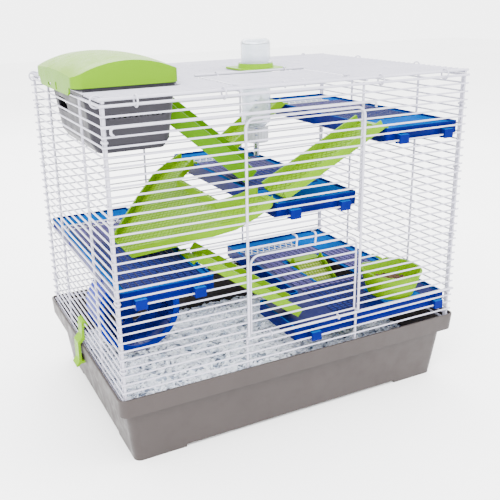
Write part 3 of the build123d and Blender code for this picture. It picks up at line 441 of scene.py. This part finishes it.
def wall_room(x, y, z):
    """Distance from a point to the tray's sloping walls, in millimetres."""
    rise = z / FLARE_HEIGHT
    room_x = INSIDE_X + FLARE_X * rise - WALL_ROOM - abs(x)
    room_y = INSIDE_Y + FLARE_Y * rise - WALL_ROOM - abs(y)
    return min(room_x, room_y, room_x + room_y - CORNER_ROOM)


def heap():
    """Closed uneven body of packed bedding below the loose flakes; its paper is far darker than theirs, as
    painted shade in the gaps.
    """
    shape = Shape()
    top, bottom = [], []
    floor = BED_LOW.z / MM + HEAP_RAISE
    for j in range(HEAP_ROWS + 1):
        for i in range(HEAP_COLUMNS + 1):
            u, v = i / HEAP_COLUMNS * 2 - 1, j / HEAP_ROWS * 2 - 1
            x, y = u * HEAP_X, v * HEAP_Y
            z = bed_height(x, y)
            shrink_x = min(1.0, (INSIDE_X + FLARE_X * z / FLARE_HEIGHT - HEAP_ROOM) / HEAP_X)
            shrink_y = min(1.0, (INSIDE_Y + FLARE_Y * z / FLARE_HEIGHT - HEAP_ROOM) / HEAP_Y)
            top.append(Vector((x * shrink_x, y * shrink_y, z)) * MM)
            bottom.append(Vector((u * FOOT_X, v * FOOT_Y, floor)) * MM)
    row = HEAP_COLUMNS + 1
    count = len(top)
    faces = []
    for j in range(HEAP_ROWS):
        for i in range(HEAP_COLUMNS):
            a = j * row + i
            faces.append((a, a + 1, a + row + 1, a + row))
            faces.append((count + a, count + a + row, count + a + row + 1, count + a + 1))
    edge = list(range(row))
    edge += [j * row + HEAP_COLUMNS for j in range(1, HEAP_ROWS + 1)]
    edge += [HEAP_ROWS * row + i for i in range(HEAP_COLUMNS - 1, -1, -1)]
    edge += [j * row for j in range(HEAP_ROWS - 1, 0, -1)]
    for a, b in zip(edge, edge[1:] + edge[:1]):
        faces.append((a, count + a, count + b, b))
    shape.add(top + bottom, faces)
    return shape.piece("bedding_heap", SHADED_PAPER, "base", "bedding")


def flakes(count):
    """Loose curled paper flakes, thin closed strips lying on the heap."""
    shape = Shape()
    made = 0
    while made < count:
        x = random.uniform(-SCATTER_X, SCATTER_X)
        y = random.uniform(-SCATTER_Y, SCATTER_Y)
        z = bed_height(x, y) + random.uniform(*FLAKE_LIFT)
        length = random.uniform(*FLAKE_LENGTH)
        if wall_room(x, y, z) < length * 0.5 + FLAKE_CLEARANCE:
            continue
        width = random.uniform(*FLAKE_WIDTH)
        curl = random.uniform(-FLAKE_CURL, FLAKE_CURL)
        turn = Matrix.Rotation(random.uniform(0, 2 * math.pi), 3, "Z")
        about_x = Matrix.Rotation(random.gauss(0, FLAKE_TILT), 3, "X")
        about_y = Matrix.Rotation(random.gauss(0, FLAKE_TILT), 3, "Y")
        turn = turn @ (about_x @ about_y)
        lean = random.uniform(-FLAKE_LEAN, FLAKE_LEAN)
        rings = []
        for s in range(FLAKE_STEPS + 1):
            share = s / FLAKE_STEPS - 0.5
            sag = curl * length * (share * share - 0.25) * 0.9
            taper = width / 2 * (1.0 - 0.3 * abs(share * 2) * random.uniform(0.2, 1.0))
            ring = []
            for side, lift in ((-1, 0), (1, 0), (1, FLAKE_THICKNESS), (-1, FLAKE_THICKNESS)):
                p = Vector((share * length, side * taper + lean * share * length, sag + lift))
                ring.append((Vector((x, y, z)) + turn @ p) * MM)
            rings.append(ring)
        heights = [p.z for ring in rings for p in ring]
        if min(heights) < BED_LOW.z or max(heights) > FLAKE_CEILING * MM:
            continue
        shape.tube(rings)
        made += 1
    shape.piece("bedding_flakes", PAPER, "base", "bedding")


bed = heap()
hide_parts("bedding")
flakes(FLAKES)

# ---------------------------------------------------------------- feed

# Mound of feed in the bowl, in millimetres: its rings as (height, half width)
MOUND = ((0.0, 24.5), (5.0, 27.0), (10.0, 28.0), (12.5, 20.0), (13.6, 8.0))
MOUND_SIDES = 28
MOUND_SQUARENESS = 0.72
MOUND_RAISE = 0.2

# Loose pellets and seeds on it: how far they spread, the dome they lie on, and their own shape
PELLET_SPREAD = 27
DOME_TOP, DOME_FALL = 13.4, 2.6
PELLET_LIFT = (-0.6, 1.8)
PELLET_TILT = 0.5
PELLET_SHAPE = (1.25, 0.8, 0.7)
PELLET_SIDES = 8
PELLET_RINGS = 6
PELLET_LUMPS, LUMP_FREQUENCY = 0.12, 700

FEED_LOW, FEED_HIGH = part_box("feed")
FEED_CENTRE = (FEED_LOW + FEED_HIGH) / 2


def feed_mound():
    """Rounded square mound of packed feed."""
    shape = Shape()
    rings = []
    for height, half in MOUND:
        ring = []
        for s in range(MOUND_SIDES):
            a = 2 * math.pi * s / MOUND_SIDES
            x = math.copysign(abs(math.cos(a)) ** MOUND_SQUARENESS, math.cos(a)) * half
            y = math.copysign(abs(math.sin(a)) ** MOUND_SQUARENESS, math.sin(a)) * half
            wave = noise.noise(Vector((x, y, height)) * 0.2) * 0.6
            ring.append(Vector((FEED_CENTRE.x + x * MM, FEED_CENTRE.y + y * MM,
                                FEED_LOW.z + (height + MOUND_RAISE + wave) * MM)))
        rings.append(ring)
    shape.tube(rings)
    return shape.piece("feed_bed", FEED, "bowl_body", "feed", smooth=True)


def pellet(shape, centre, size, turn):
    """Lumpy rounded pellet with its own proportions."""
    rings = []
    for k in range(1, PELLET_RINGS):
        t = math.pi * k / PELLET_RINGS
        ring = []
        for s in range(PELLET_SIDES):
            a = 2 * math.pi * s / PELLET_SIDES
            p = Vector((math.cos(t) * size[0], math.sin(t) * math.cos(a) * size[1],
                        math.sin(t) * math.sin(a) * size[2]))
            p *= 1 + PELLET_LUMPS * noise.noise((p + centre) * LUMP_FREQUENCY)
            ring.append(centre + turn @ p)
        rings.append(ring)
    shape.tube(rings)


def loose_feed(name, finish, count, least, most):
    """Pellets or seeds strewn over the mound; least and most bound their half size before shaping."""
    shape = Shape()
    for _ in range(count):
        a = random.uniform(0, 2 * math.pi)
        r = PELLET_SPREAD * math.sqrt(random.random())
        x, y = FEED_CENTRE.x + r * math.cos(a) * MM, FEED_CENTRE.y + r * math.sin(a) * MM
        dome = DOME_TOP - DOME_FALL * (r / PELLET_SPREAD) ** 2
        z = FEED_LOW.z + (dome + random.uniform(*PELLET_LIFT)) * MM
        size = [random.uniform(least, most) * MM * share for share in PELLET_SHAPE]
        turn = Matrix.Rotation(random.uniform(0, 6.28), 3, "Z")
        turn = turn @ Matrix.Rotation(random.gauss(0, PELLET_TILT), 3, "Y")
        pellet(shape, Vector((x, y, z)), size, turn)
    shape.piece(name, finish, "bowl_body", "feed", smooth=True)


body = feed_mound()
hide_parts("feed")
loose_feed("feed_pellets", FEED, 150, 2.2, 3.6)
loose_feed("feed_seeds", SEED, 90, 1.4, 2.4)

# ---------------------------------------------------------------- shelf floors

UP = Vector((0, 0, 1))
RIGHT = Vector((1, 0, 0))
TO_FRONT = Vector((0, -1, 0))
SHELF_SLOT = "blue"

# Height of a shelf's lip above its floor and the plain border beside the mats, in millimetres
SHELF_LIP = 2.5
BORDER = 10.0

# Thicknesses in metres
MAT_THICKNESS = 0.0005
PLATE_THICKNESS = 0.0004

# Ribs of the grid on the mats: pitch in millimetres, then width and height in metres
RIB_PITCH_X, RIB_X = 8.4, (0.0016, 0.0005)
RIB_PITCH_Y, RIB_Y = 5.6, (0.0013, 0.0004)

# Front and back edges of the dim and the pale mat on each storey, in millimetres
STRIPS = {"shelf_upper": ((-90, 0), (0, 92)), "shelf_middle": ((-90, 0), (0, 92)),
          "shelf_lower": ((-150, 20), (20, 112))}


def slab(shape, edges, z, thickness):
    """Thin slab lying level at z; its edges are left, right, front and back in millimetres."""
    left, right, front, back = (edge * MM for edge in edges)
    ring = [Vector((x, y, z)) for x, y in ((left, front), (right, front), (right, back), (left, back))]
    shape.tube([ring, [p + UP * thickness for p in ring]])


def shelf_floor(node, level, areas):
    """Raised mesh on a shelf's walking floor: thin mats, (edges, finish) each, below a dark grid of ribs."""
    grid = Shape()
    z = level * MM
    top = z + MAT_THICKNESS
    for number, (edges, finish) in enumerate(areas):
        mat = Shape()
        slab(mat, edges, z, MAT_THICKNESS)
        mat.piece(f"{node}_mat_{number}", finish, "base", SHELF_SLOT)
        left, right, front, back = edges
        count = int((right - left) / RIB_PITCH_X)
        for i in range(count + 1):
            x = (left + (right - left) * i / count) * MM
            grid.bar(Vector((x, front * MM, top)), Vector((x, back * MM, top)), RIGHT, UP, *RIB_X)
        count = int((back - front) / RIB_PITCH_Y)
        for i in range(count + 1):
            y = (front + (back - front) * i / count) * MM
            grid.bar(Vector((left * MM, y, top)), Vector((right * MM, y, top)), TO_FRONT, UP, *RIB_Y)
    grid.piece(node + "_grid", GRID, "base", SHELF_SLOT)


for node, (dim, pale) in STRIPS.items():
    low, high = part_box(node)
    left, right = low.x / MM + BORDER, high.x / MM - BORDER
    mats = [((left, right, *dim), MESH_DIM), ((left, right, *pale), MESH_PALE)]
    shelf_floor(node, high.z / MM - SHELF_LIP, mats)

ground_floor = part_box("shelf_ground")[1].z / MM - SHELF_LIP
BOWL_LOW, BOWL_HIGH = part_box("food_bowl")

# Square left free for the bowl's foot, in millimetres from the bowl's middle
BOWL_FOOT_ROOM = 31.4
foot_left = (BOWL_LOW.x + BOWL_HIGH.x) / 2 / MM - BOWL_FOOT_ROOM
foot_right = foot_left + 2 * BOWL_FOOT_ROOM
foot_front = (BOWL_LOW.y + BOWL_HIGH.y) / 2 / MM - BOWL_FOOT_ROOM
foot_back = foot_front + 2 * BOWL_FOOT_ROOM

# Mats on the ground shelf, in millimetres: pale ones around the hatch, dim ones in front of it
MAT_LEFT, MAT_RIGHT = 64, 222
MAT_FRONT, MAT_MIDDLE, MAT_SIDE_BACK, MAT_BACK = -140, -62, 60, 102
HATCH_LEFT, HATCH_RIGHT, HATCH_FRONT, HATCH_BACK = 96, 178, -48, 56
PALE_AREAS = ((MAT_LEFT, HATCH_LEFT, MAT_MIDDLE, MAT_BACK),
              (HATCH_RIGHT, MAT_RIGHT, MAT_MIDDLE, MAT_SIDE_BACK),
              (HATCH_LEFT, HATCH_RIGHT, MAT_MIDDLE, HATCH_FRONT),
              (HATCH_LEFT, HATCH_RIGHT, HATCH_BACK, MAT_BACK))
DIM_AREAS = ((MAT_LEFT, foot_left, MAT_FRONT, MAT_MIDDLE), (foot_left, MAT_RIGHT, foot_back, MAT_MIDDLE))
mats = [(edges, MESH_PALE) for edges in PALE_AREAS] + [(edges, MESH_DIM) for edges in DIM_AREAS]
shelf_floor("shelf_ground", ground_floor, mats)

# Relief near each shelf's back edge, in millimetres, and its ribs' width and height in metres
LATTICE_BAY = 11
LATTICE_RAISE = 0.05
LATTICE_EDGES = (98, 120)
LATTICE_LEFT, LATTICE_RIGHT = 6, 26
LATTICE_RIB, LATTICE_RAIL = (0.0018, 0.0009), (0.0014, 0.0009)


def lattice(node, z, left, right, front, back):
    """Crossed relief between two rails, lying on a shelf's floor."""
    shape = Shape()
    bays = max(2, round((right - left) / LATTICE_BAY))
    for i in range(bays):
        x0 = left + (right - left) * i / bays
        x1 = left + (right - left) * (i + 1) / bays
        for a, b in (((x0, front), (x1, back)), ((x0, back), (x1, front))):
            start, end = Vector((*a, z)) * MM, Vector((*b, z)) * MM
            shape.bar(start, end, UP.cross(end - start).normalized() * -1, UP, *LATTICE_RIB)
    for y in (front, back):
        shape.bar(Vector((left, y, z)) * MM, Vector((right, y, z)) * MM, TO_FRONT, UP, *LATTICE_RAIL)
    shape.piece(node + "_lattice", WHITE, "base", SHELF_SLOT)


for node in STRIPS:
    low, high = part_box(node)
    level = high.z / MM - SHELF_LIP + LATTICE_RAISE
    lattice(node, level, low.x / MM + LATTICE_LEFT, high.x / MM - LATTICE_RIGHT, *LATTICE_EDGES)
lattice("shelf_ground", ground_floor + LATTICE_RAISE, 60, 160, 108, 130)

# Dark plain plates: the ground shelf's front left part, its front edge, its step, and beside the bowl's foot
DECK_FRONT = -160
plates = Shape()
for edges in ((-6, 63, DECK_FRONT, -70), (64.5, foot_left, DECK_FRONT, -141), (54.5, 63, -69, 120),
              (foot_left, foot_right, DECK_FRONT, foot_front), (foot_right, 231, DECK_FRONT, foot_back)):
    slab(plates, edges, ground_floor * MM, PLATE_THICKNESS)
plates.piece("shelf_ground_plates", NAVY, "base", SHELF_SLOT)

# ---------------------------------------------------------------- ramps

# Crossed ribs on the ramps' sloping floors, in metres; floors with a normal past LEVEL_ABOVE stay plain
RAMP_PITCH = 0.0062
RAMP_RIB = (0.0009, 0.0004)
LEVEL_ABOVE = 0.985

# Level direction along each ramp
RAMP_RUN = {"ramp_front": RIGHT, "ramp_back": RIGHT, "ramp_hatch": TO_FRONT, "ramp_fork": RIGHT}
for node, run in RAMP_RUN.items():
    ribs = Shape()
    across = Vector((-run.y, run.x, 0))
    for surface in flats(node, least=0.0012, steepest=0.6):
        if surface[0].z > LEVEL_ABOVE:
            continue
        for diagonal in (run + across, run - across):
            rib_field(ribs, surface, diagonal, RAMP_PITCH, *RAMP_RIB)
    ribs.piece(node + "_ribs", MESH_LINE, "base", "lime")

# ---------------------------------------------------------------- stay wire and bottle marks

FRONT_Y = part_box("front_panel")[0].y
STAY_Z = 0.4131
STAY_RADIUS = 0.0015
STAY_RIGHT = 0.092
STAY_STEPS = 12
HOOK_REACH = 0.003


def front_stay():
    """Thin stay along the front wall's upper bars, hooked down at both ends."""
    y = FRONT_Y - 0.0006
    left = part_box("front_panel")[0].x + 0.012
    path = [Vector((left, y + 0.0005, STAY_Z - 0.009)), Vector((left - HOOK_REACH, y, STAY_Z - 0.006)),
            Vector((left - HOOK_REACH, y, STAY_Z - 0.002)), Vector((left, y, STAY_Z))]
    path += [Vector((left + (STAY_RIGHT - left) * i / STAY_STEPS, y, STAY_Z))
             for i in range(1, STAY_STEPS + 1)]
    path += [Vector((STAY_RIGHT + HOOK_REACH, y, STAY_Z - drop)) for drop in (0.002, 0.007)]
    stay = Shape()
    stay.wire(path, STAY_RADIUS)
    stay.piece("front_stay_wire", WIRE, "base", "wire", smooth=True)


front_stay()

# Scale marks, in metres, and how far they reach around the bottle in radians
MARKS = 9
MARK_LOWEST = 0.335
MARK_PITCH = 0.0095
MARK_HEIGHT = 0.0011
MARK_FACING = math.radians(-118)
LONG_MARK, SHORT_MARK = 0.30, 0.17
MARK_STEPS = 6


def bottle_marks():
    """Plain scale marks standing proud of the bottle's front, every fourth one long."""
    low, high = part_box("bottle")
    centre = (low + high) / 2
    radius = (high.x - low.x) / 2
    inner, outer = radius - 0.0001, radius + 0.0003
    shape = Shape()
    for i in range(MARKS):
        z = MARK_LOWEST + i * MARK_PITCH
        sweep = LONG_MARK if i % 4 == 0 else SHORT_MARK
        rings = []
        for k in range(MARK_STEPS + 1):
            a = MARK_FACING + sweep * (k / MARK_STEPS - 0.5)
            rings.append([Vector((centre.x + r * math.cos(a), centre.y + r * math.sin(a), z + dz))
                          for r, dz in ((inner, 0), (outer, 0), (outer, MARK_HEIGHT), (inner, MARK_HEIGHT))])
        shape.tube(rings)
    shape.piece("bottle_marks", PRINT, "bottle_body", "bottle_clear")


bottle_marks()

# ---------------------------------------------------------------- hatch ladder

# Top of the ladder in the ground shelf's hatch, and its slope down to the bedding, in millimetres
LADDER_TOP = Vector((134, 44, ground_floor + 1.5))
LADDER_DOWN = Vector((0, -118, 65.5 - ground_floor - 1.5)).normalized()
LADDER_UP = Vector((0, LADDER_DOWN.z, -LADDER_DOWN.y))
PANEL_NEAR, PANEL_FAR, PANEL_HALF = 5.0, 70.0, 23.5
PANEL_LIFT, PANEL_THICKNESS = 1.8, 0.6
LONG_LINES, CROSS_LINES = 9, 13

# Width and height of the panel's lines, in metres
LADDER_LINE = (0.0009, 0.0004)


def ladder_spot(x, down, lift):
    """Place on the ladder, by its distance sideways, down the slope and above it in millimetres."""
    return (LADDER_TOP + Vector((x, 0, 0)) + LADDER_DOWN * down + LADDER_UP * lift) * MM


def ladder_mesh():
    """Pale mesh panel that lies on the upper rungs of the hatch ladder."""
    panel, lines = Shape(), Shape()
    corners = ((-PANEL_HALF, PANEL_NEAR), (PANEL_HALF, PANEL_NEAR),
               (PANEL_HALF, PANEL_FAR), (-PANEL_HALF, PANEL_FAR))
    ring = [ladder_spot(x, down, PANEL_LIFT) for x, down in corners]
    top = PANEL_LIFT + PANEL_THICKNESS
    panel.tube([ring, [p + LADDER_UP * PANEL_THICKNESS * MM for p in ring]])
    for i in range(LONG_LINES):
        x = -PANEL_HALF + 2 * PANEL_HALF * (i + 0.5) / LONG_LINES
        start, end = ladder_spot(x, PANEL_NEAR, top), ladder_spot(x, PANEL_FAR, top)
        lines.bar(start, end, RIGHT, LADDER_UP, *LADDER_LINE)
    for i in range(CROSS_LINES):
        down = PANEL_NEAR + (PANEL_FAR - PANEL_NEAR) * (i + 0.5) / CROSS_LINES
        start, end = ladder_spot(-PANEL_HALF, down, top), ladder_spot(PANEL_HALF, down, top)
        lines.bar(start, end, LADDER_DOWN, LADDER_UP, *LADDER_LINE)
    panel.piece("ladder_panel", PALE_LIME, "base", "lime")
    lines.piece("ladder_lines", MESH_LINE, "base", "lime")


ladder_mesh()

# ---------------------------------------------------------------- camera

# Direction the camera looks in, as its turn to the right, its fall and its roll
AZIMUTH, FALL, ROLL = math.radians(25.942), math.radians(18.565), math.radians(-1.341)
CAMERA_PLACE = (-0.4374, -0.8621, 0.5359)
forward = Vector((math.sin(AZIMUTH) * math.cos(FALL), math.cos(AZIMUTH) * math.cos(FALL), -math.sin(FALL)))
level_right = Vector((math.cos(AZIMUTH), -math.sin(AZIMUTH), 0))
level_up = level_right.cross(forward)
camera_right = level_right * math.cos(ROLL) + level_up * math.sin(ROLL)
camera_up = level_up * math.cos(ROLL) - level_right * math.sin(ROLL)
lens = bpy.data.cameras.new("camera")
lens.lens = 50.71
lens.sensor_width = 36.0
lens.shift_x = 0.037
lens.shift_y = -0.0335
lens.clip_start = 0.01
camera = bpy.data.objects.new("camera", lens)
bpy.context.scene.collection.objects.link(camera)
facing = Matrix((camera_right, camera_up, -forward)).transposed().to_4x4()
camera.matrix_world = Matrix.Translation(CAMERA_PLACE) @ facing
bpy.context.scene.camera = camera

# ---------------------------------------------------------------- studio floor and light

FLOOR_REACH = 6.0
FLOOR_TONES = [(0.3, (0.90, 0.90, 0.90)), (0.7, (0.93, 0.93, 0.93))]
floor_mesh = bpy.data.meshes.new("studio_floor")
corners = [(-FLOOR_REACH, -FLOOR_REACH, 0), (FLOOR_REACH, -FLOOR_REACH, 0),
           (FLOOR_REACH, FLOOR_REACH, 0), (-FLOOR_REACH, FLOOR_REACH, 0)]
floor_mesh.from_pydata(corners, [], [(0, 1, 2, 3)])
floor_finish, floor_tree, floor_shader = material("studio_floor")
floor_tint = ramp(floor_tree, noise_node(floor_tree, 1.5, 2), FLOOR_TONES)
floor_tree.links.new(floor_tint, floor_shader.inputs["Base Color"])
floor_shader.inputs["Roughness"].default_value = 0.7
floor_mesh.materials.append(floor_finish)
studio_floor = bpy.data.objects.new("studio_floor", floor_mesh)
bpy.context.scene.collection.objects.link(studio_floor)

world = bpy.data.worlds.new("studio")
world.use_nodes = True
world.node_tree.nodes["Background"].inputs["Color"].default_value = (1.0, 1.0, 1.0, 1)
world.node_tree.nodes["Background"].inputs["Strength"].default_value = 5.0
bpy.context.scene.world = world


def soft_light(name, spot, target, size, power):
    """Square area light at a spot, turned to its target."""
    data = bpy.data.lights.new(name, "AREA")
    data.energy = power
    data.shape = "RECTANGLE"
    data.size = size
    data.size_y = size
    lamp = bpy.data.objects.new(name, data)
    bpy.context.scene.collection.objects.link(lamp)
    lamp.location = spot
    lamp.rotation_euler = (Vector(target) - Vector(spot)).to_track_quat("-Z", "Y").to_euler()


soft_light("key", (-1.3, -1.6, 2.2), (0, 0, 0.2), 1.4, 130)
soft_light("fill", (1.8, -1.0, 1.4), (0, 0, 0.25), 1.6, 45)
soft_light("rim", (0.4, 1.8, 1.8), (0, 0, 0.25), 1.4, 60)
